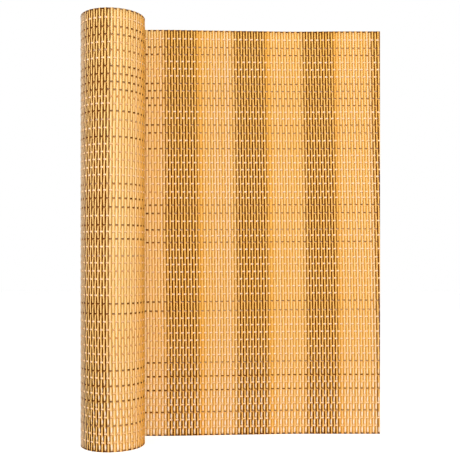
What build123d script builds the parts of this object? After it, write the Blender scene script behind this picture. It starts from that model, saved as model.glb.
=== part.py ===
"""Woven polyrattan balcony screen, partly rolled up and standing on its end.

The mat is one wall. Flat plastic strips stand side by side along its length and are woven
together by thin wefts, so in plan the wall is a row of lens-shaped ridges, one for each strip,
joined by thinner valleys where the mat bends. From its inner end the wall winds outwards as a
spiral roll, leaves the back of the roll and runs off to the right as a free sheet, which bows
gently backwards on its way.

Frame: +Z up along the strips, +X from the roll towards the free end, +Y to the back.
The origin is at the middle of the footprint, on the floor.
"""

import os
from math import asin, cos, pi, radians, sin

from build123d import *

# Driving dimensions, in millimetres and degrees
mat_height = 900.0  # length of a strip, floor to top edge
mat_length = 3000.0  # whole mat, measured along its middle
sheet_length = 582.0  # stretch of the mat that is unrolled
strip_pitch = 6.2  # one strip to the next
crown_thickness = 2.2  # mat over the middle of a strip
valley_thickness = 1.6  # mat between two strips
core_radius = 43.9  # clear radius inside the roll
turn_gap = 1.2  # air between one turn of the roll and the next
bow_lead = 90.0  # sheet runs this far straight off the roll
bow_bend_radius = 600.0  # bend at either end of the bow
bow_angle = 4.0  # how far the bow turns towards the back
bow_run = 235.0  # slanting stretch between the two bends

# Values that follow from them
strip_count = round(mat_length / strip_pitch)
sheet_count = round(sheet_length / strip_pitch)
rolled_count = strip_count - sheet_count
turn_pitch = crown_thickness + turn_gap
inner_radius = core_radius + crown_thickness / 2
bow_bend_length = bow_bend_radius * radians(bow_angle)


def spiral_radius(turned):
    """Radius of the mat's middle after the roll has turned by so many radians."""
    return inner_radius + turn_pitch * turned / (2 * pi)


def strip_turn(turned):
    """Angle that the next strip spans on the spiral, so that its chord is one pitch long."""
    step = strip_pitch / spiral_radius(turned)
    return 2 * asin(strip_pitch / (2 * spiral_radius(turned + step / 2)))


def roll_joints():
    """Points between the strips of the roll, from the inner end to the back of the roll."""
    turns = [0.0]
    for _ in range(rolled_count):
        turns.append(turns[-1] + strip_turn(turns[-1]))
    joints = []
    for turned in turns:
        bearing = pi / 2 + turns[-1] - turned
        joints.append(spiral_radius(turned) * Vector(cos(bearing), sin(bearing)))
    return joints


def sheet_heading(distance):
    """Direction of the sheet, in radians from +X, at a distance from the roll."""
    into_first_bend = min(max(distance - bow_lead, 0.0), bow_bend_length)
    second_bend = bow_lead + bow_bend_length + bow_run
    into_second_bend = min(max(distance - second_bend, 0.0), bow_bend_length)
    return (into_first_bend - into_second_bend) / bow_bend_radius


def mat_joints():
    """Points between all the strips of the mat, from the inner end to the free edge."""
    joints = roll_joints()
    for strip in range(sheet_count):
        heading = sheet_heading((strip + 0.5) * strip_pitch)
        joints.append(joints[-1] + strip_pitch * Vector(cos(heading), sin(heading)))
    return joints


def left_normal(start, end):
    """Unit vector square to a run, on its left: outwards on the roll, backwards on the sheet."""
    along = (end - start).normalized()
    return Vector(-along.Y, along.X)


def face_arcs(joints, side):
    """Crowned outline of every strip on one face of the mat: side is +1 left, -1 right."""
    normals = [left_normal(a, b) for a, b in zip(joints, joints[1:])]
    first, last = normals[0], normals[-1]
    joint_normals = [
        (a + b).normalized() for a, b in zip([first] + normals, normals + [last])
    ]
    valleys = [
        joint + side * valley_thickness / 2 * normal
        for joint, normal in zip(joints, joint_normals)
    ]
    crowns = [
        (a + b) / 2 + side * crown_thickness / 2 * normal
        for a, b, normal in zip(joints, joints[1:], normals)
    ]
    return [
        Edge.make_three_point_arc(a, crown, b)
        for a, crown, b in zip(valleys, crowns, valleys[1:])
    ]


def mat_profile():
    """Plan of the whole mat as one closed face."""
    joints = mat_joints()
    outer = face_arcs(joints, +1)
    inner = face_arcs(joints, -1)
    inner_end = Edge.make_line(inner[0] @ 0, outer[0] @ 0)
    free_end = Edge.make_line(outer[-1] @ 1, inner[-1] @ 1)
    return Face(Wire(outer + [free_end] + inner + [inner_end]))


def woven_screen():
    """The mat, raised from its plan and set with the middle of its footprint at the origin."""
    mat = extrude(mat_profile(), amount=mat_height, dir=(0, 0, 1))
    middle = mat.bounding_box().center()
    return Pos(-middle.X, -middle.Y, 0) * mat


def main():
    """Writes one STEP file for each piece."""
    os.makedirs("parts", exist_ok=True)
    screen = woven_screen()
    export_step(screen, "parts/woven_screen.step")
    box = screen.bounding_box()
    print(f"strips {strip_count}, of which {rolled_count} are in the roll")
    print(f"width {box.size.X:.1f}, depth {box.size.Y:.1f}, height {box.size.Z:.1f}")
    print(f"volume {screen.volume:.0f}")


main()
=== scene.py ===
"""Looks of the woven balcony screen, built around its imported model.

Every strip and weft of the plain weave that can be seen is modelled. They follow the same plan as
the solid wall that they replace: a spiral roll, and a sheet that leaves its back to the right.
Lengths are in metres. +Z is up along the strips, +X runs to the free end and +Y to the back.
Places along the mat are counted in strips from the roll's inner end, and rows from the top.
"""

import math

import bpy
import numpy as np
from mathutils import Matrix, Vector


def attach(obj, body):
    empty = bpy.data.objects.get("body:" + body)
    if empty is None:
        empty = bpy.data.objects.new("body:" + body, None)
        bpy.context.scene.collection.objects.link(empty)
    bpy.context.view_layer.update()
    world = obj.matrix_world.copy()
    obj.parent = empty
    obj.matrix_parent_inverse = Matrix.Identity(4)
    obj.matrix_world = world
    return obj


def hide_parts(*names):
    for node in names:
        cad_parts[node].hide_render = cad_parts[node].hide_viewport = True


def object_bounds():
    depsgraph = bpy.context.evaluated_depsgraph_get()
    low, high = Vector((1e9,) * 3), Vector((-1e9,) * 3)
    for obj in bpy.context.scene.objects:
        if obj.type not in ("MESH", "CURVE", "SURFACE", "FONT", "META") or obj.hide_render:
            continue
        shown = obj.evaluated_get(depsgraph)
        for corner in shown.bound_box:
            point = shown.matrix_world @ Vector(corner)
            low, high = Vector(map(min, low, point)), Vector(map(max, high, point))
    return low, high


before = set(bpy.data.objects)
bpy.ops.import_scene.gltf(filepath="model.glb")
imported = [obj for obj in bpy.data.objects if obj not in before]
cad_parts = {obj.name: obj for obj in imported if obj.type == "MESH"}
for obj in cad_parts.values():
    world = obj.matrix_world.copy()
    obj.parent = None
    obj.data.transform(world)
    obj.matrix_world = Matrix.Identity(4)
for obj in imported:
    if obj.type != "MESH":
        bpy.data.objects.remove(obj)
cad_low, cad_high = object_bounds()

SEED = 27
rng = np.random.default_rng(SEED)

# Plan of the mat, as in the solid
MAT_HEIGHT = 0.900
STRIP_COUNT = 484
SHEET_COUNT = 94
ROLL_COUNT = STRIP_COUNT - SHEET_COUNT
STRIP_PITCH = 0.0062
WALL = 0.0022
TURN_GAP = 0.0012
CORE_RADIUS = 0.0439
BOW_LEAD = 0.090
BOW_BEND_RADIUS = 0.600
BOW_ANGLE = math.radians(4.0)
BOW_RUN = 0.235

# Strips. Two more than fit are woven, because they lean and the free edge cuts the last ones.
WOVEN_COUNT = STRIP_COUNT + 2
STRIP_SWAY = 0.00044  # to either side of the mat's middle
STRIP_SPREAD = 0.05  # how much wider they are at a weft than between two

# Half section of a strip: place across it in half pitches, and height over its middle plane
SECTION = [(-1.01, 0.0), (-0.54, 0.00048), (-0.08, 0.00032), (0.42, 0.00060), (1.01, 0.0)]

# Rows of wefts, and how far some have slipped down. The rows between those follow them.
ROW_COUNT = 56
EDGE_ROW = 0.0016  # first and last row, from the mat's top and foot
ROW_PITCH = (MAT_HEIGHT - 2 * EDGE_ROW) / (ROW_COUNT - 1)
ROW_SHIFTS = {
    0: 0.0, 2: 0.0035, 10: 0.0015, 13: -0.004, 16: -0.0005, 21: -0.0039, 22: -0.0022,
    23: -0.0053, 24: -0.006, 27: -0.0005, 29: -0.005, 30: -0.0049, 31: -0.0027, 32: -0.0046,
    37: -0.004, 38: 0.0, 45: 0.0005, 49: -0.003, 52: -0.003, 55: 0.0,
}

# Wefts: their size, their points to a strip, and how much of a strip they leave at the mat's ends
WEFT_SWAY = 0.00052
WEFT_CURVE_POWER = 1.5  # above 1, the bends over a strip are narrower
WEFT_HEIGHT = 0.0038
EDGE_WEFT_HEIGHT = 0.0026
DARK_WEFT_DROP = 0.0008
WEFT_THICKNESS = 0.0005
WEFT_STEPS = 4
WEFT_END = 0.12

# Rows at top and foot that are woven on the middle turns, which are hidden between their ends
END_ROWS = 3

# How far the weave is pulled sideways, in strips, and where, in shares of the sheet or the height
SHEET_LEAN = 1.83  # sheet's lean, top to foot
SHEET_LEAN_MIDDLE = 0.62  # share of it above the row that stays in place
SHEET_LEAN_PEAK = 0.8  # share of the sheet where it is full
EDGE_LEAN = 2.9  # free edge's lean, top to foot
EDGE_LEAN_START = 1.78  # strips of it above the row that stays in place
EDGE_LEAN_FROM = 0.7  # share of the sheet where it takes over
TOP_EASE = 0.3  # how much less the free edge leans at its top
TOP_EASE_END = 0.2  # share of the height where that ends
ROLL_PULL = 0.3  # pull towards the roll beside it
ROLL_PULL_END = 0.29  # share of the sheet where that ends
FOOT_LEAN = 0.29  # further lean near the sheet's foot
FOOT_LEAN_END = 0.42  # share of the sheet where that ends
FOOT_LEAN_DOWN = [0.5, 0.75]
FOOT_LEAN_SHARE = [0.0, 1.0]
TURN_SHIFT = -0.87  # shift of the strips on the roll's front
TURN_BOW = 0.55  # their bow between top and foot
TURN_BOW_SKEW = 1.4  # how far below the middle the bow is widest, as a power

# How far the weave has slipped down beside the roll, by strips from it, and up on the roll's front
SHEET_SLIP = 0.003
SHEET_SLIP_STRIPS = [-4, 2, 30, 80]
SHEET_SLIP_SHARE = [0.0, 1.0, 0.8, 0.0]
FOOT_HOLD_POWER = 8  # the higher, the nearer to the foot the slip fades out
ROLL_RISE = 0.0021

# Stripes of colour in strips from the free edge, dark and light by turns. A dark stripe starts and
# ends a little paler, and a light one starts a little darker.
FIRST_STRIPES = [4, 13, 12, 13, 12, 13, 12, 14]
DARK_STRIPE = 12
LIGHT_STRIPE = 13
STRIPE_START = 0.7
STRIPE_END = 0.75
STRIPE_FADE = 0.25

# A strip paler than the first limit glows if the one before it is darker than the second
GLOW = 0.65
GLOW_PALER_THAN = 0.72
GLOW_AFTER_DARKER = 0.5

# Dark rows of wefts, and how far they have bleached: by row, and by strips from the roll
DARK_ROWS = {0, 2, 3, 7, 8, 9, 10, 13, 14, 16, 24, 25, 27, 29, 37, 38, 45, 47, 49, 52, 55}
EDGE_ROWS = [0, ROW_COUNT - 1]
INNER_DARK_ROWS = sorted(DARK_ROWS - set(EDGE_ROWS))
BLEACHED_ROWS = [36, 45]
BLEACH = [0.12, 0.0]
BLEACHED_STRIPS = [10, 20, 34, 60, 90]
BLEACHED_SHARE = [0.0, 1.0, 1.0, 0.45, 0.25]
PALE_ROWS = {
    2: 0.15, 3: 0.08, 7: 0.12, 8: 0.26, 9: 0.14, 10: 0.12, 13: 0.1, 14: 0.25, 16: 0.16, 24: 0.1,
    25: 0.12, 27: 0.28, 29: 0.1, 37: 0.12, 38: 0.28, 45: 0.28, 49: 0.05, 52: 0.2,
}
PALE_STRIPS = [12, 24]
PALE_SHARE = [0.0, 1.0]

# Gold lower half of the dark wefts, by strips from the roll
UNDERSIDE_STRIPS = [-2, 0, 8, 22]
UNDERSIDE_SHARE = [0.45, 0.2, 0.2, 1.0]

# Rows that are darker or paler on the roll, and where the dark rows on the front of its outer turn
# are paled as painted glare
ROLL_DARKER_ROWS = {5: 0.5, 14: -0.5, 22: 0.7, 31: 0.45, 52: -0.15}
ROLL_GLARE_TURN = [0.40, 0.43, 0.47, 0.52]
ROLL_GLARE = [0.0, 0.2, 0.2, 0.0]

# Dull and softly dull rows on the roll and beside it, and the roll's lower rows, all softly dull
DULL_ROWS = {5, 11, 22, 41}
SOFT_ROWS = {4, 12, 15, 17, 18, 19, 31, 33, 40, 42, 43, 50, 51}
SOFT_SHARE = 0.45
DULL_STRIPS = [8, 20]
DULL_SHARE = [1.0, 0.0]
DULL_ON_DARK = 0.3
ROLL_DULL_FROM = 32
ROLL_DULL = 0.3

# Bright rows, by strips from the roll, and how bright every light weft is in a dark stripe
BRIGHT_ROWS = {
    1, 5, 6, 11, 12, 17, 18, 19, 20, 21, 22, 23, 26, 28, 30, 31, 33, 35, 39, 40, 41, 42, 43, 44,
}
BRIGHT_STRIPS = [10, 22]
BRIGHT_SHARE = [0.3, 0.75]
BRIGHT_ON_DARK = 0.9

# How far the strips have aged: by the share of the roll's outer turn, and by height.
# The mat's inner face, which is the front of the sheet, goes by strips from the roll: paler beside
# the roll, as painted light where the roll shades the sheet.
FADED_TURN = [0.24, 0.40]
FADED_ROUND = [0.0, 1.0]
FADED_HEIGHTS = [0.0, 0.45, 0.9]
FADED_UPWARDS = [0.35, 0.85, 0.75]
LIT_STRIPS = [-1, 0, 8, 16]
LIT_INSIDE = [0.0, 1.1, 0.8, 0.0]
# Painted bounce light from the sheet: deeper gold on the right side of the roll's outer turn
BOUNCE_TURN = [0.20, 0.27, 0.36]
BOUNCE_ROUND = [0.0, 0.65, 0.0]
# Painted grey sheen on the left rim of the roll's outer turn
SHEEN_TURN = [0.61, 0.70, 0.80, 0.90]
SHEEN_ROUND = [0.0, 1.0, 1.0, 0.0]
# Painted shade: darker streaks towards the foot on the left of the roll's outer turn
FOOT_SHADE_TURN = [0.48, 0.60, 0.75, 0.85]
FOOT_SHADE_ROUND = [0.0, 1.0, 1.0, 0.0]
FOOT_SHADE_HEIGHTS = [0.06, 0.40]
FOOT_SHADE_UPWARDS = [0.75, 0.0]
PALED_HEIGHTS = [0.55, 0.90]

# Pale glints near the strips' lower ends: by the outer turn, by height, and by downward slope
GLINT_TURN = [0.30, 0.42, 0.48, 0.56, 0.66, 0.99, 1.0]
GLINT_ROUND = [0.1, 1.0, 1.0, 0.6, 0.0, 0.0, 1.0]
GLINT_HEIGHTS = [0.02, 0.24]
GLINT_SLOPES = [0.15, 0.75]

# Where the colours meet: across a strip in half pitches, and on a weft in half heights or bends
STREAK_TO_LOBE = [-0.16, 0.02]
OUTER_RIM = [0.4, 0.95]
INNER_RIM = [0.3, -0.05]
CREST_START = [-0.7, 0.0]
CREST_END = [0.65, 0.35]
WEFT_SHADOWED_EDGE = [-0.5, -0.9]
WEFT_UNDERSIDE = [0.0, -0.4]
WEFT_CROWN = [0.0, 0.4]

# Colours of the plastic, and of the light and shade painted on it, as screen colours
ORANGE_LOBE = (248, 197, 120)
YELLOW_LOBE = (252, 212, 152)
CREAM_LOBE = (252, 216, 170)
RICH_LOBE = (254, 194, 94)
RICH_YELLOW_LOBE = (255, 211, 132)
GLOW_LOBE = (250, 178, 68)
LOBE_EDGE = (240, 154, 20)
DEEP_TAN = (223, 155, 56)
PALE_TAN = (237, 175, 83)
DEEP_BROWN = (76, 32, 0)
PALE_BROWN = (128, 67, 2)
FADED_AND_LIT = (255, 230, 172)
SHEEN_GREY = (192, 180, 170)
SHADE_BROWN = (44, 18, 0)
PALED = (170, 150, 70)
GLINT = (255, 240, 222)
WEFT_GOLD = (246, 184, 104)
WEFT_CREAM = (253, 210, 158)
WEFT_BRIGHT = (255, 223, 188)
WEFT_DULL = (204, 145, 88)
WEFT_SHADOW = (168, 104, 44)
WEFT_DARK = (66, 24, 0)
WEFT_BROWN = (112, 56, 8)

# Shares in which some of them are mixed in, and the strips' own shades that turn to cream
RIM_SHARE = 0.7
FADED_AND_LIT_LOBE = 0.4
FADED_AND_LIT_STREAK = 0.25
SHEEN_LOBE = 0.85
SHEEN_STREAK = 0.6
PALED_SHARE = 0.07
GLINT_SHARE = 0.78
WEFT_GOLD_SHARE = 0.3
CREAM_SHADES = [0.55, 1.0]

# Grain of the plastic: noise drawn out along strips and wefts, which lie far apart in it
NOISE_DETAIL = 3.0
NOISE_ROUGHNESS = 0.6
STRIPS_APART = 91.0
STRIP_ACROSS = 1.6
BROAD_ALONG = 3.0
BROAD_SCALE = 1.3
FINE_ACROSS = 3.0
FINE_ALONG = 9.0
FINE_SCALE = 2.0
WEFTS_APART = 57.0
WEFT_ALONG = 0.35
WEFT_SCALE = 1.0
GRAIN_LIMITS = [0.3, 0.7]
GRAIN_BUMP = 0.25
GRAIN_DEPTH = 0.0002

# Gloss of the plastic
PLASTIC_IOR = 1.5
PLASTIC_SPECULAR = 0.03
STRIP_ROUGHNESS = [0.42, 0.62]
WEFT_ROUGHNESS = [0.4, 0.58]

# Layout of the bake map: a column for each strip or a band for each weft, with room between them
MAP_MARGIN = 0.04
MAP_FILL = 1 - 2 * MAP_MARGIN
STRIP_MAP_ENDS = [0.02, 0.98]
STRIP_CAP_MIDDLE = 0.5
STRIP_CAP_WIDTH = 0.3
STRIP_CAP_SCALE = 4.0
STRIP_TOP_CAP = 0.99
STRIP_FOOT_CAP = 0.01
WEFT_MAP_ENDS = [0.01, 0.99]
WEFT_MAP_WALK = [0.0, 0.1, 0.5, 0.6, 1.0]
WEFT_CAP_START = [0.002, 0.002, 0.006, 0.006]
WEFT_CAP_STOP = [0.994, 0.994, 0.998, 0.998]
WEFT_CAP_HEIGHTS = [0.0, 0.1, 0.1, 0.0]

# Corners of a weft's flat section: up or down, and in or out
CORNER_UP = np.array([1.0, 1.0, -1.0, -1.0])
CORNER_OUT = np.array([-1.0, 1.0, 1.0, -1.0])

# Photograph's framing
SENSOR_WIDTH = 36.0
LENS = 56.1
LENS_SHIFT = 0.0604
CAMERA_PLACE = (-0.0104, -1.5263, 0.3937)

# Studio
WHITE = (1.0, 1.0, 1.0, 1.0)
FLOOR_COLOUR = (0.88, 0.88, 0.88, 1.0)
FLOOR_ROUGHNESS = 0.9
FLOOR_SIZE = 14.0
FLOOR_LIFT = 0.7
WORLD_LIGHT = 0.25
KEY_PLACE = (1.3, -4.8, 1.2)
KEY_TARGET = (0.0, 0.0, 0.45)
KEY_SIZE = 3.2
KEY_POWER = 236.0
FILL_PLACE = (-3.0, -0.9, 1.1)
FILL_TARGET = (-0.2, 0.0, 0.45)
FILL_SIZE = 1.6
FILL_POWER = 38.0


def roll_radius(turned):
    """Radius of the mat's middle after the roll has turned by so many radians."""
    return CORE_RADIUS + WALL / 2 + (WALL + TURN_GAP) * turned / (2 * math.pi)


def sheet_heading(distance):
    """Direction of the sheet, in radians from +X, at a distance from the roll."""
    bend = BOW_BEND_RADIUS * BOW_ANGLE
    first = min(max(distance - BOW_LEAD, 0.0), bend)
    second = min(max(distance - BOW_LEAD - bend - BOW_RUN, 0.0), bend)
    return (first - second) / BOW_BEND_RADIUS


def roll_turns():
    """Angle that the roll has turned at each point between its strips, from the inner end."""
    turns = [0.0]
    for _ in range(ROLL_COUNT):
        ahead = turns[-1] + STRIP_PITCH / roll_radius(turns[-1]) / 2
        turns.append(turns[-1] + 2 * math.asin(STRIP_PITCH / (2 * roll_radius(ahead))))
    return np.array(turns)


def mat_joints():
    """Points between the strips in plan, from the roll's inner end to the free edge."""
    points = []
    for turned in TURNS:
        bearing = math.pi / 2 + TURNS[-1] - turned
        radius = roll_radius(turned)
        points.append((radius * math.cos(bearing), radius * math.sin(bearing)))
    for strip in range(SHEET_COUNT):
        heading = sheet_heading((strip + 0.5) * STRIP_PITCH)
        x, y = points[-1]
        points.append((x + STRIP_PITCH * math.cos(heading), y + STRIP_PITCH * math.sin(heading)))
    joints = np.array(points)
    free_end = np.array([cad_high.x, cad_high.y - WALL / 2])
    return joints + free_end - joints[-1]


def joint_directions():
    """Direction at each point between strips: outwards on the roll, backwards on the sheet."""
    runs = np.diff(JOINTS, axis=0)
    along = runs / np.linalg.norm(runs, axis=1, keepdims=True)
    outward = np.stack([-along[:, 1], along[:, 0]], axis=1)
    ends = np.vstack([outward[:1], outward, outward[-1:]])
    between = ends[:-1] + ends[1:]
    return between / np.linalg.norm(between, axis=1, keepdims=True)


def stripe_darkness():
    """How dark each strip's streak is: 1 in a dark stripe, less at its two borders."""
    widths = list(FIRST_STRIPES)
    while sum(widths) < WOVEN_COUNT:
        widths += [DARK_STRIPE, LIGHT_STRIPE]
    from_edge = []
    for number, width in enumerate(widths):
        if number % 2 == 0:
            from_edge += [STRIPE_START] + [1.0] * (width - 2) + [STRIPE_END]
        else:
            from_edge += [STRIPE_FADE] + [0.0] * (width - 1)
    return np.array(from_edge[:WOVEN_COUNT][::-1])


def stripe_glow():
    """How far each strip's lobe turns to the deeper gold at the outer border of a dark stripe."""
    before = np.append(0.0, STRIP_DARKNESS[:-1])
    return GLOW * (STRIP_DARKNESS < GLOW_PALER_THAN) * (before > GLOW_AFTER_DARKER)


def row_heights():
    """Heights of the wefts from the top, evenly spaced but for the rows that slipped down or up."""
    rows = np.arange(ROW_COUNT)
    slipped = np.interp(rows, list(ROW_SHIFTS), list(ROW_SHIFTS.values()))
    return MAT_HEIGHT - EDGE_ROW - rows * ROW_PITCH - slipped


TURNS = roll_turns()
INNER_END = int(np.searchsorted(TURNS, 2 * math.pi))
OUTER_START = int(np.searchsorted(TURNS, TURNS[-1] - 2 * math.pi))
JOINTS = mat_joints()
JOINT_OUTWARD = joint_directions()
STRIP_SHADE = rng.random(WOVEN_COUNT)
ROW_SHADE = rng.random(ROW_COUNT)
STRIP_DARKNESS = stripe_darkness()
STRIP_GLOW = stripe_glow()
ROW_HEIGHTS = row_heights()


def turn_share(place):
    """How far round the roll's outer turn a place is: 0 at its start, 1 where the sheet leaves."""
    return (place - OUTER_START) / (ROLL_COUNT - OUTER_START)


def roll_front(place):
    """1 on the front half of the roll's outer turn, fading to 0 at its back."""
    round_turn = np.clip(turn_share(place), 0.0, 1.0)
    return np.clip(2 * np.sin(np.pi * round_turn) ** 2, 0.0, 1.0)


def lean(place, height):
    """How far the weave is pulled towards the free edge, in strips, at a place and height."""
    down = 1.0 - height / MAT_HEIGHT
    out = np.clip((place - ROLL_COUNT) / SHEET_COUNT, 0.0, 1.0)
    rise = np.sin(np.pi / 2 * np.clip(out / SHEET_LEAN_PEAK, 0.0, 1.0))
    near_edge = np.clip((out - EDGE_LEAN_FROM) / (1 - EDGE_LEAN_FROM), 0.0, 1.0)
    curve = np.sin(np.pi / 2 * down)
    slant = SHEET_LEAN * (curve - SHEET_LEAN_MIDDLE) * rise
    ease = TOP_EASE * np.clip(1 - down / TOP_EASE_END, 0.0, 1.0)
    edge = EDGE_LEAN * (curve + down) / 2 - EDGE_LEAN_START + ease
    sheet = slant * (1 - near_edge) + edge * near_edge
    pull = ROLL_PULL * np.sin(np.pi * np.clip(out / ROLL_PULL_END, 0.0, 1.0))
    foot = FOOT_LEAN * np.sin(np.pi * np.clip(out / FOOT_LEAN_END, 0.0, 1.0))
    foot = foot * np.interp(down, FOOT_LEAN_DOWN, FOOT_LEAN_SHARE)
    bow = TURN_BOW * np.sin(np.pi * down**TURN_BOW_SKEW)
    return sheet - pull + foot + roll_front(place) * (TURN_SHIFT + bow)


def slip(place, height):
    """How far the weave has slipped down at a place and height. The mat's foot stays in place."""
    down = 1.0 - height / MAT_HEIGHT
    beside = np.interp(place - ROLL_COUNT, SHEET_SLIP_STRIPS, SHEET_SLIP_SHARE)
    sunk = SHEET_SLIP * beside * (1 - down**FOOT_HOLD_POWER)
    return sunk - ROLL_RISE * roll_front(place) * np.sin(np.pi * down)


def path_at(steps):
    """Plan points and outward directions at places counted in strips along the mat."""
    strip = np.clip(steps.astype(int), 0, STRIP_COUNT - 1)
    part = (steps - strip)[..., None]
    point = JOINTS[strip] * (1 - part) + JOINTS[strip + 1] * part
    outward = JOINT_OUTWARD[strip] * (1 - part) + JOINT_OUTWARD[strip + 1] * part
    return point, outward / np.linalg.norm(outward, axis=-1, keepdims=True)


def new_piece(name, points, quads, caps, values, places, material):
    """A mesh with its values on points, its bake map on corners, riding on the mat."""
    used = np.unique(np.concatenate([quads.ravel(), caps.ravel()]))
    number = np.zeros(len(points), int)
    number[used] = np.arange(len(used))
    mesh = bpy.data.meshes.new(name)
    mesh.from_pydata(points[used], [], number[quads].tolist() + number[caps].tolist())
    for key, numbers in values.items():
        mesh.attributes.new(key, "FLOAT", "POINT").data.foreach_set("value", numbers[used])
    layer = mesh.uv_layers.new(name="OFBake")
    layer.data.foreach_set("uv", places.astype(np.float32).ravel())
    mesh.polygons.foreach_set("use_smooth", np.ones(len(mesh.polygons), bool))
    mesh.materials.append(material)
    mesh.update()
    piece = bpy.data.objects.new(name, mesh)
    bpy.context.collection.objects.link(piece)
    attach(piece, "root")
    return piece


def strip_section():
    """Points round a strip's section: place across it, and height over its middle plane."""
    back = SECTION[-2:0:-1]
    across = np.array([u for u, _ in SECTION] + [u for u, _ in back])
    rise = np.array([v for _, v in SECTION] + [-v for _, v in back])
    return across, rise


def strip_levels(detailed):
    """Rows and heights at which a strip has points: at and between wefts, or only near its ends."""
    last = ROW_COUNT - 1
    rows = np.arange(2 * last + 1) / 2
    if not detailed:
        rows = rows[(rows < END_ROWS) | (rows > last - END_ROWS)]
    levels = np.interp(rows, np.arange(ROW_COUNT), ROW_HEIGHTS)
    levels[0] = MAT_HEIGHT
    levels[-1] = 0.0
    return rows, levels


def strip_values(chosen, height, across, rise, slope):
    """Numbers that colour the strips, for each point of each section of each strip."""
    strip = chosen[:, None, None]
    round_turn = turn_share(strip)
    outside = np.interp(round_turn, FADED_TURN, FADED_ROUND)
    outside = outside * np.interp(height, FADED_HEIGHTS, FADED_UPWARDS)
    # Paler strips beside the roll on the sheet's front are painted light against the roll's shade
    inside = np.interp(strip - ROLL_COUNT, LIT_STRIPS, LIT_INSIDE)
    # Painted bounce light on the roll's right side joins the stripes' deeper gold
    bounce = np.interp(round_turn, BOUNCE_TURN, BOUNCE_ROUND)
    # Painted shade low on the left of the roll
    foot_shade = np.interp(round_turn, FOOT_SHADE_TURN, FOOT_SHADE_ROUND)
    glinting = np.interp(round_turn, GLINT_TURN, GLINT_ROUND)
    values = {
        "across": across,
        "along": height,
        "darkness": STRIP_DARKNESS[strip],
        "glow": np.maximum(STRIP_GLOW[strip], bounce),
        "rim_sheen": np.interp(round_turn, SHEEN_TURN, SHEEN_ROUND),
        "foot_shade": foot_shade * np.interp(height, FOOT_SHADE_HEIGHTS, FOOT_SHADE_UPWARDS),
        "shade": STRIP_SHADE[strip],
        "faded_and_lit": np.where(rise > 0, outside, inside),
        "downward": glinting * np.maximum(slope * np.sign(rise), 0.0),
    }
    return {key: np.broadcast_to(given, height.shape).ravel() for key, given in values.items()}


def strip_map(count, levels, across, rise):
    """Bake map of strips: the corners of their sides, and the places of their tops and feet."""
    around = len(across)
    walk = np.arange(around + 1) / around
    column = (np.arange(count)[:, None] + MAP_MARGIN + MAP_FILL * walk) / count
    v = np.interp(levels, [0.0, MAT_HEIGHT], STRIP_MAP_ENDS)
    span = (count, len(levels) - 1, around)
    left = np.broadcast_to(column[:, None, :-1], span)
    right = np.broadcast_to(column[:, None, 1:], span)
    upper = np.broadcast_to(v[:-1, None], span)
    lower = np.broadcast_to(v[1:, None], span)
    sides = np.stack([left, upper, left, lower, right, lower, right, upper], axis=-1)
    cap_u = column[:, :1] + (STRIP_CAP_MIDDLE + STRIP_CAP_WIDTH * across) / count
    top_v = np.broadcast_to(STRIP_TOP_CAP + STRIP_CAP_SCALE * rise, cap_u.shape)
    foot_v = np.broadcast_to(STRIP_FOOT_CAP + STRIP_CAP_SCALE * rise, cap_u.shape)
    tops = np.stack([cap_u, top_v], axis=-1)
    feet = np.stack([cap_u, foot_v], axis=-1)[:, ::-1]
    return sides, tops, feet


def strips(name, first, last, detailed, material):
    """Strips first to last - 1 of the mat, swaying in front of and behind the wefts."""
    across, rise = strip_section()
    rows, levels = strip_levels(detailed)
    chosen = np.arange(first, last)
    shape = (len(chosen), len(levels), len(across))
    side = np.where(chosen % 2 == 0, 1.0, -1.0)[:, None, None]
    wave = np.cos(np.pi * rows)[:, None]
    slope = -side * np.sin(np.pi * rows)[:, None]
    out = rise - STRIP_SWAY * side * wave
    height = np.broadcast_to(levels[:, None], shape)
    half_width = (1 + STRIP_SPREAD * np.abs(wave)) / 2
    place = chosen[:, None, None] + 0.5 + half_width * across
    led = place + lean(place, height)
    past = led >= STRIP_COUNT
    plan, outward = path_at(np.minimum(led, STRIP_COUNT))
    plan = plan + np.where(past, 0.0, out)[..., None] * outward
    settled = height - slip(place, height)
    points = np.concatenate([plan, settled[..., None]], axis=3).reshape(-1, 3)
    index = np.arange(len(points)).reshape(shape)
    turned = np.roll(index, -1, axis=2)
    quads = np.stack([index[:, :-1], index[:, 1:], turned[:, 1:], turned[:, :-1]], axis=-1)
    kept = ~past.ravel()[quads].all(axis=-1)
    top_kept = ~past[:, 0].all(axis=1)
    foot_kept = ~past[:, -1].all(axis=1)
    caps = np.concatenate([index[top_kept, 0], index[foot_kept, -1, ::-1]])
    values = strip_values(chosen, height, across, rise, slope)
    sides, tops, feet = strip_map(len(chosen), levels, across, rise)
    mapped = [sides[kept], tops[top_kept], feet[foot_kept]]
    places = np.concatenate([given.reshape(-1, 2) for given in mapped])
    return new_piece(name, points, quads[kept], caps, values, places, material)


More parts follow.
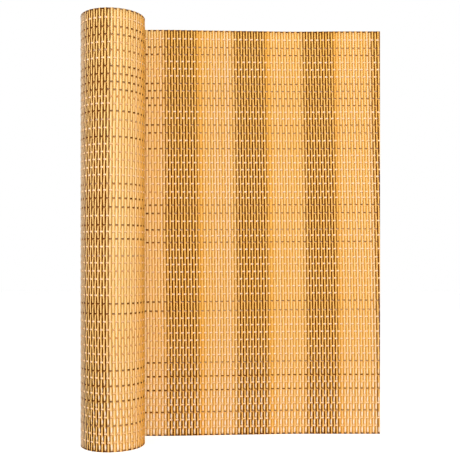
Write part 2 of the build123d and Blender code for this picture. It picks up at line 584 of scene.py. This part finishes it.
def weft_values(rows, steps, bends):
    """Numbers that colour the wefts, for each corner of each section of each row."""
    row = rows[:, None]
    from_roll = steps - ROLL_COUNT
    rolled = steps < ROLL_COUNT
    on_dark = STRIP_DARKNESS[np.minimum(steps.astype(int), WOVEN_COUNT - 1)]

    bleach = np.interp(row, BLEACHED_ROWS, BLEACH)
    bleach = bleach * np.interp(from_roll, BLEACHED_STRIPS, BLEACHED_SHARE)
    pale = np.array([PALE_ROWS.get(number, 0.0) for number in rows])[:, None]
    pale = pale * np.interp(from_roll, PALE_STRIPS, PALE_SHARE)
    darker = np.array([ROLL_DARKER_ROWS.get(number, 0.0) for number in rows])[:, None]
    dark = np.isin(row, list(DARK_ROWS)) * (1 - bleach) * (1 - pale) + darker * rolled
    # Painted glare pales the dark rows on the front of the roll's outer turn
    dark = dark * (1 - np.interp(turn_share(steps), ROLL_GLARE_TURN, ROLL_GLARE))

    dull = np.isin(row, list(DULL_ROWS)) + np.isin(row, list(SOFT_ROWS)) * SOFT_SHARE
    dull = dull * np.interp(from_roll, DULL_STRIPS, DULL_SHARE)
    dull = dull + (row >= ROLL_DULL_FROM) * rolled * ROLL_DULL
    dull = dull * (1 - (1 - DULL_ON_DARK) * on_dark)

    bright = np.isin(row, list(BRIGHT_ROWS)) * np.interp(from_roll, BRIGHT_STRIPS, BRIGHT_SHARE)
    bright = np.maximum(bright, BRIGHT_ON_DARK * on_dark)

    underside = np.interp(from_roll, UNDERSIDE_STRIPS, UNDERSIDE_SHARE)
    grids = {
        "along": steps,
        "crown": np.abs(bends),
        "shade": ROW_SHADE[row],
        "underside": ~np.isin(row, EDGE_ROWS) * underside,
        "dark": dark,
        "dull": dull,
        "bright": bright,
    }
    shape = (len(rows), len(steps))
    values = {"level": np.tile(CORNER_UP, len(rows) * len(steps))}
    for key, given in grids.items():
        values[key] = np.repeat(np.broadcast_to(given, shape), len(CORNER_UP))
    return values


def weft_map(count, steps):
    """Bake map of wefts: the corners of their sides, and the places of their two ends."""
    band = (np.arange(count)[:, None] + MAP_MARGIN + MAP_FILL * np.array(WEFT_MAP_WALK)) / count
    u = np.interp(steps, steps[[0, -1]], WEFT_MAP_ENDS)
    span = (count, len(steps) - 1, len(CORNER_UP))
    left = np.broadcast_to(u[:-1, None], span)
    right = np.broadcast_to(u[1:, None], span)
    near = np.broadcast_to(band[:, None, :-1], span)
    far = np.broadcast_to(band[:, None, 1:], span)
    sides = np.stack([left, near, left, far, right, far, right, near], axis=-1)
    end_v = band[:, 1:2] + np.array(WEFT_CAP_HEIGHTS) / count
    starts = np.stack([np.broadcast_to(WEFT_CAP_START, end_v.shape), end_v], axis=-1)
    stops = np.stack([np.broadcast_to(WEFT_CAP_STOP, end_v.shape), end_v], axis=-1)
    return sides, starts, stops


def wefts(name, first, last, rows, material):
    """Wefts of some rows from strip first to strip last, over one strip and under the next."""
    rows = np.array(rows)
    low = first + WEFT_END * (first == 0)
    steps = np.linspace(low, last, (last - first) * WEFT_STEPS + 1)
    shape = (len(rows), len(steps), len(CORNER_UP))
    row_height = ROW_HEIGHTS[rows] - DARK_WEFT_DROP * np.isin(rows, INNER_DARK_ROWS)
    place = np.broadcast_to(steps, shape[:2])
    led = place + lean(place, row_height[:, None])
    end = STRIP_COUNT - WEFT_END
    past = led >= end
    plan, outward = path_at(np.minimum(led, end))
    bends = np.sin(np.pi * steps)
    wave = WEFT_SWAY * np.sign(bends) * np.abs(bends) ** WEFT_CURVE_POWER
    side = np.where(rows % 2 == 0, 1.0, -1.0)
    out = np.where(past, 0.0, side[:, None] * wave)[:, :, None] + CORNER_OUT * WEFT_THICKNESS / 2
    flat = plan[:, :, None, :] + out[..., None] * outward[:, :, None, :]
    settled = row_height[:, None] - slip(place, row_height[:, None])
    tall = np.where(np.isin(rows, EDGE_ROWS), EDGE_WEFT_HEIGHT, WEFT_HEIGHT)
    height = settled[:, :, None] + tall[:, None, None] * CORNER_UP / 2
    points = np.concatenate([flat, height[..., None]], axis=3).reshape(-1, 3)
    index = np.arange(len(points)).reshape(shape)
    turned = np.roll(index, -1, axis=2)
    quads = np.stack([index[:, :-1], turned[:, :-1], turned[:, 1:], index[:, 1:]], axis=-1)
    kept = ~(past[:, :-1] & past[:, 1:])
    caps = np.concatenate([index[:, 0, ::-1], index[:, -1]])
    values = weft_values(rows, steps, bends)
    sides, starts, stops = weft_map(len(rows), steps)
    places = np.concatenate([given.reshape(-1, 2) for given in (sides[kept], starts, stops)])
    return new_piece(name, points, quads[kept].reshape(-1, 4), caps, values, places, material)


def colour(screen):
    """Linear colour from the three numbers of a screen colour."""
    parts = [c / 255 for c in screen]
    return (*[p / 12.92 if p <= 0.04045 else ((p + 0.055) / 1.055) ** 2.4 for p in parts], 1.0)


def node(tree, kind, **settings):
    """A new node with its properties and unlinked sockets set."""
    made = tree.nodes.new(kind)
    for key, value in settings.items():
        if key in made.inputs:
            made.inputs[key].default_value = value
        else:
            setattr(made, key, value)
    return made


def feed(tree, socket, given):
    """Links a socket to another, or sets it to a number or colour."""
    if isinstance(given, bpy.types.NodeSocket):
        tree.links.new(given, socket)
    else:
        socket.default_value = given


def value_of(tree, name):
    """Number that the mesh holds under a name."""
    return node(tree, "ShaderNodeAttribute", attribute_name=name).outputs["Fac"]


def maths(tree, operation, first, second):
    """Result of an operation on two numbers or sockets."""
    made = node(tree, "ShaderNodeMath", operation=operation)
    feed(tree, made.inputs[0], first)
    feed(tree, made.inputs[1], second)
    return made.outputs[0]


def times(tree, first, second):
    """Product of two numbers or sockets."""
    return maths(tree, "MULTIPLY", first, second)


def blend(tree, share, first, second):
    """Mix of two colours or colour sockets, through the mix node's own colour sockets."""
    made = node(tree, "ShaderNodeMix", data_type="RGBA")
    feed(tree, made.inputs[0], share)
    feed(tree, made.inputs[6], first)
    feed(tree, made.inputs[7], second)
    return made.outputs[2]


def ramp(tree, value, limits):
    """A number brought smoothly from between two limits to 0..1."""
    made = node(tree, "ShaderNodeMapRange", interpolation_type="SMOOTHSTEP")
    tree.links.new(value, made.inputs["Value"])
    made.inputs["From Min"].default_value = limits[0]
    made.inputs["From Max"].default_value = limits[1]
    return made.outputs["Result"]


def noise_at(tree, x, y, scale):
    """Noise at a place given by two numbers."""
    place = node(tree, "ShaderNodeCombineXYZ")
    tree.links.new(x, place.inputs["X"])
    tree.links.new(y, place.inputs["Y"])
    noise = node(
        tree, "ShaderNodeTexNoise", Scale=scale, Detail=NOISE_DETAIL, Roughness=NOISE_ROUGHNESS
    )
    tree.links.new(place.outputs[0], noise.inputs["Vector"])
    return noise.outputs["Fac"]


def plastic(name):
    """An empty plastic material with its tree and shader."""
    material = bpy.data.materials.new(name)
    material.use_nodes = True
    tree = material.node_tree
    shader = tree.nodes["Principled BSDF"]
    shader.inputs["IOR"].default_value = PLASTIC_IOR
    shader.inputs["Specular IOR Level"].default_value = PLASTIC_SPECULAR
    return material, tree, shader


def roughen(tree, shader, noise, limits):
    """Roughness that follows the noise between two limits."""
    rough = node(tree, "ShaderNodeMapRange")
    tree.links.new(noise, rough.inputs["Value"])
    rough.inputs["To Min"].default_value = limits[0]
    rough.inputs["To Max"].default_value = limits[1]
    tree.links.new(rough.outputs["Result"], shader.inputs["Roughness"])


def strip_material():
    """Two-tone extruded strip: a pale golden lobe beside a streak, dark in the dark stripes."""
    material, tree, shader = plastic("polyrattan_strip")
    across = value_of(tree, "across")
    along = value_of(tree, "along")
    darkness = value_of(tree, "darkness")
    shade = value_of(tree, "shade")
    faded_and_lit = value_of(tree, "faded_and_lit")
    rim_sheen = value_of(tree, "rim_sheen")
    own_place = times(tree, shade, STRIPS_APART)
    sideways = maths(tree, "ADD", times(tree, across, STRIP_ACROSS), own_place)
    broad = noise_at(tree, sideways, times(tree, along, BROAD_ALONG), BROAD_SCALE)
    fine_sideways = times(tree, sideways, FINE_ACROSS)
    fine = noise_at(tree, fine_sideways, times(tree, along, FINE_ALONG), FINE_SCALE)
    patch = ramp(tree, broad, GRAIN_LIMITS)
    grain = ramp(tree, fine, GRAIN_LIMITS)

    gold = blend(tree, patch, colour(ORANGE_LOBE), colour(YELLOW_LOBE))
    gold = blend(tree, ramp(tree, shade, CREAM_SHADES), gold, colour(CREAM_LOBE))
    rich = blend(tree, patch, colour(RICH_LOBE), colour(RICH_YELLOW_LOBE))
    lobe = blend(tree, darkness, gold, rich)
    # Deeper gold at dark stripes' borders, and painted bounce light on the roll's right side
    lobe = blend(tree, value_of(tree, "glow"), lobe, colour(GLOW_LOBE))
    inner_rim = times(tree, ramp(tree, across, INNER_RIM), darkness)
    rim = maths(tree, "MAXIMUM", ramp(tree, across, OUTER_RIM), inner_rim)
    lobe = blend(tree, times(tree, rim, RIM_SHARE), lobe, colour(LOBE_EDGE))
    # Cream where the outer face has faded, and painted light beside the roll on the sheet's front
    lobe = blend(tree, times(tree, faded_and_lit, FADED_AND_LIT_LOBE), lobe, colour(FADED_AND_LIT))
    # Painted grey sheen on the roll's left rim
    lobe = blend(tree, times(tree, rim_sheen, SHEEN_LOBE), lobe, colour(SHEEN_GREY))

    tan = blend(tree, grain, colour(DEEP_TAN), colour(PALE_TAN))
    # Cream where faded, and painted light beside the roll on the sheet's front
    tan = blend(tree, times(tree, faded_and_lit, FADED_AND_LIT_STREAK), tan, colour(FADED_AND_LIT))
    brown = blend(tree, grain, colour(DEEP_BROWN), colour(PALE_BROWN))
    paled = times(tree, ramp(tree, along, PALED_HEIGHTS), PALED_SHARE)
    brown = blend(tree, paled, brown, colour(PALED))
    # Painted shade: nearly black streaks low on the left of the roll
    brown = blend(tree, value_of(tree, "foot_shade"), brown, colour(SHADE_BROWN))
    streak = blend(tree, darkness, tan, brown)
    # Painted grey sheen on the roll's left rim
    streak = blend(tree, times(tree, rim_sheen, SHEEN_STREAK), streak, colour(SHEEN_GREY))

    whole = blend(tree, ramp(tree, across, STREAK_TO_LOBE), streak, lobe)
    foot = maths(tree, "SUBTRACT", 1.0, ramp(tree, along, GLINT_HEIGHTS))
    crest = times(tree, ramp(tree, across, CREST_START), ramp(tree, across, CREST_END))
    facing = times(tree, ramp(tree, value_of(tree, "downward"), GLINT_SLOPES), foot)
    glint = times(tree, times(tree, crest, facing), GLINT_SHARE)
    tree.links.new(blend(tree, glint, whole, colour(GLINT)), shader.inputs["Base Color"])

    roughen(tree, shader, fine, STRIP_ROUGHNESS)
    bump = node(tree, "ShaderNodeBump", Strength=GRAIN_BUMP, Distance=GRAIN_DEPTH)
    tree.links.new(fine, bump.inputs["Height"])
    tree.links.new(bump.outputs["Normal"], shader.inputs["Normal"])
    return material


def weft_material():
    """Flat plastic tape, cream in most rows and dark brown in the others."""
    material, tree, shader = plastic("polyrattan_weft")
    level = value_of(tree, "level")
    own_place = times(tree, value_of(tree, "shade"), WEFTS_APART)
    lengthways = times(tree, value_of(tree, "along"), WEFT_ALONG)
    patches = noise_at(tree, lengthways, own_place, WEFT_SCALE)
    patch = ramp(tree, patches, GRAIN_LIMITS)

    pale = blend(tree, value_of(tree, "bright"), colour(WEFT_CREAM), colour(WEFT_BRIGHT))
    pale = blend(tree, value_of(tree, "dull"), pale, colour(WEFT_DULL))
    pale = blend(tree, times(tree, patch, WEFT_GOLD_SHARE), pale, colour(WEFT_GOLD))
    # Painted shadow: a darker line along each pale weft's lower edge
    pale = blend(tree, ramp(tree, level, WEFT_SHADOWED_EDGE), pale, colour(WEFT_SHADOW))
    # Painted shade: gold where the weft bends in between the strips, pale on its crowns
    pale = blend(tree, ramp(tree, value_of(tree, "crown"), WEFT_CROWN), colour(WEFT_GOLD), pale)

    dark = blend(tree, patch, colour(WEFT_DARK), colour(WEFT_BROWN))
    under = times(tree, ramp(tree, level, WEFT_UNDERSIDE), value_of(tree, "underside"))
    dark = blend(tree, under, dark, colour(WEFT_GOLD))

    tree.links.new(blend(tree, value_of(tree, "dark"), pale, dark), shader.inputs["Base Color"])
    roughen(tree, shader, patches, WEFT_ROUGHNESS)
    return material


def show_when_seen(tree, lighting, seen, output):
    """Gives one shader to rays that see the white set, and another to those that light the object.

    The set is seen from the camera, mirrored, or through something clear.
    """
    path = node(tree, "ShaderNodeLightPath").outputs
    mirrored = maths(tree, "MAXIMUM", path["Is Glossy Ray"], path["Is Transmission Ray"])
    choice = node(tree, "ShaderNodeMixShader")
    tree.links.new(maths(tree, "MAXIMUM", path["Is Camera Ray"], mirrored), choice.inputs[0])
    tree.links.new(lighting.outputs[0], choice.inputs[1])
    tree.links.new(seen.outputs[0], choice.inputs[2])
    tree.links.new(choice.outputs[0], output.inputs["Surface"])


def white_floor():
    """Pale floor that the camera sees as white, with the object's soft shadow kept."""
    far = FLOOR_SIZE / 2
    corners = [(-far, -far, 0.0), (far, -far, 0.0), (far, far, 0.0), (-far, far, 0.0)]
    mesh = bpy.data.meshes.new("floor")
    mesh.from_pydata(corners, [], [(0, 1, 2, 3)])
    floor = bpy.data.objects.new("floor", mesh)
    bpy.context.collection.objects.link(floor)
    material = bpy.data.materials.new("pale_floor")
    material.use_nodes = True
    tree = material.node_tree
    shader = tree.nodes["Principled BSDF"]
    shader.inputs["Base Color"].default_value = FLOOR_COLOUR
    shader.inputs["Roughness"].default_value = FLOOR_ROUGHNESS
    lifted = node(tree, "ShaderNodeEmission", Strength=FLOOR_LIFT)
    both = node(tree, "ShaderNodeAddShader")
    tree.links.new(shader.outputs[0], both.inputs[0])
    tree.links.new(lifted.outputs[0], both.inputs[1])
    show_when_seen(tree, shader, both, tree.nodes["Material Output"])
    mesh.materials.append(material)


def white_world():
    """White behind the object for the camera, and an even soft light for everything else."""
    world = bpy.data.worlds.new("studio")
    world.use_nodes = True
    tree = world.node_tree
    light = tree.nodes["Background"]
    light.inputs["Color"].default_value = WHITE
    light.inputs["Strength"].default_value = WORLD_LIGHT
    white = node(tree, "ShaderNodeBackground", Color=WHITE, Strength=1.0)
    show_when_seen(tree, light, white, tree.nodes["World Output"])
    bpy.context.scene.world = world


def soft_lamp(name, place, target, side, power):
    """Square area lamp turned towards a point."""
    lamp = bpy.data.lights.new(name, "AREA")
    lamp.size = side
    lamp.energy = power
    made = bpy.data.objects.new(name, lamp)
    made.location = place
    made.rotation_euler = (Vector(target) - Vector(place)).to_track_quat("-Z", "Y").to_euler()
    bpy.context.collection.objects.link(made)


def photograph_camera():
    """Level camera with the photograph's framing."""
    data = bpy.data.cameras.new("camera")
    data.sensor_width = SENSOR_WIDTH
    data.lens = LENS
    data.shift_y = LENS_SHIFT
    camera = bpy.data.objects.new("camera", data)
    camera.location = CAMERA_PLACE
    camera.rotation_euler = (math.pi / 2, 0.0, 0.0)
    bpy.context.collection.objects.link(camera)
    bpy.context.scene.camera = camera


strip_look = strip_material()
weft_look = weft_material()
every_row = range(ROW_COUNT)
end_rows = [*range(END_ROWS), *range(ROW_COUNT - END_ROWS, ROW_COUNT)]
mat = strips("sheet_strips", ROLL_COUNT, WOVEN_COUNT, True, strip_look)
strips("roll_outer_strips", OUTER_START, ROLL_COUNT, True, strip_look)
strips("roll_middle_strips", INNER_END, OUTER_START, False, strip_look)
strips("roll_core_strips", 0, INNER_END, True, strip_look)
wefts("sheet_wefts", ROLL_COUNT, WOVEN_COUNT, every_row, weft_look)
wefts("roll_outer_wefts", OUTER_START, ROLL_COUNT, every_row, weft_look)
wefts("roll_middle_wefts", INNER_END, OUTER_START, end_rows, weft_look)
wefts("roll_core_wefts", 0, INNER_END, every_row, weft_look)
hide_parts("woven_screen")

white_floor()
white_world()
soft_lamp("key", KEY_PLACE, KEY_TARGET, KEY_SIZE, KEY_POWER)
soft_lamp("fill", FILL_PLACE, FILL_TARGET, FILL_SIZE, FILL_POWER)
photograph_camera()
bpy.context.scene.view_settings.view_transform = "Standard"
